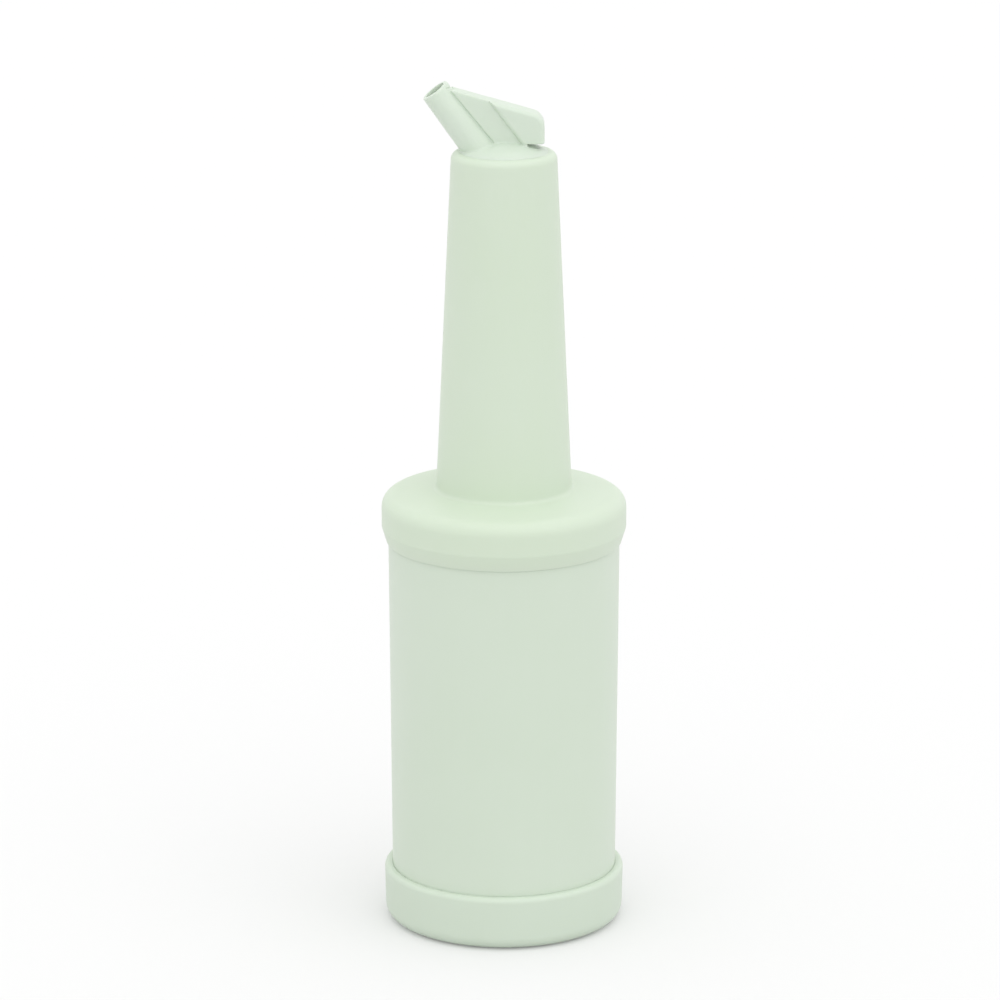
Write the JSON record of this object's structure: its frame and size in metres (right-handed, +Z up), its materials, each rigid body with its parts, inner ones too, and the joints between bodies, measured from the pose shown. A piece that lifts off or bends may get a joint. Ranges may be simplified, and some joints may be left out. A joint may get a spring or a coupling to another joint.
{
  "type": "pour bottle",
  "caption": "Tall store-and-pour bottle: a round jar, a screw-on funnel neck and a leaning plug-in spout with an air vent, with the jar's storage cap stowed on its foot.",
  "frame": {"origin": "on the bottle's axis, on the surface that it stands on", "axes": "+Z up along the bottle's axis, -X the way it pours"},
  "size_m": [0.093, 0.093, 0.327],
  "materials": {
    "moulded_plastic": "pale sage moulded polyethylene, satin and slightly milky",
    "seal_rubber": "off-white food-grade rubber, matt",
    "liner_foam": "off-white closed-cell foam, matt"
  },
  "bodies": {
    "jar": {"jar": "moulded_plastic"},
    "cap": {"storage_cap": "moulded_plastic", "cap_liner": "liner_foam"},
    "neck_seal": {"neck_seal": "seal_rubber"},
    "neck": {"neck": "moulded_plastic"},
    "spout_seal": {"spout_seal": "seal_rubber"},
    "spout": {"spout": "moulded_plastic"}
  },
  "joints": [
    {"name": "cap_pull", "type": "slide", "parent": "jar", "child": "cap", "axis": [0, 0, -1], "range_m": [0, 0.03]},
    {"name": "neck_rise", "type": "slide", "parent": "jar", "child": "neck_seal", "axis": [0, 0, 1], "range_m": [0, 0.0105]},
    {"name": "neck_turn", "type": "hinge", "parent": "neck_seal", "child": "neck", "pos_m": [0, 0, 0.16], "axis": [0, 0, 1], "range_deg": [0, 630]},
    {"name": "spout_pull", "type": "slide", "parent": "neck", "child": "spout_seal", "axis": [0, 0, 1], "range_m": [0, 0.022]},
    {"name": "spout_swivel", "type": "hinge", "parent": "spout_seal", "child": "spout", "pos_m": [0, 0, 0.3004], "axis": [0, 0, 1], "continuous": true}
  ],
  "couplings": [
    {"joint": "neck_rise", "follows": "neck_turn", "m_per_rad": 0.00095493}
  ]
}
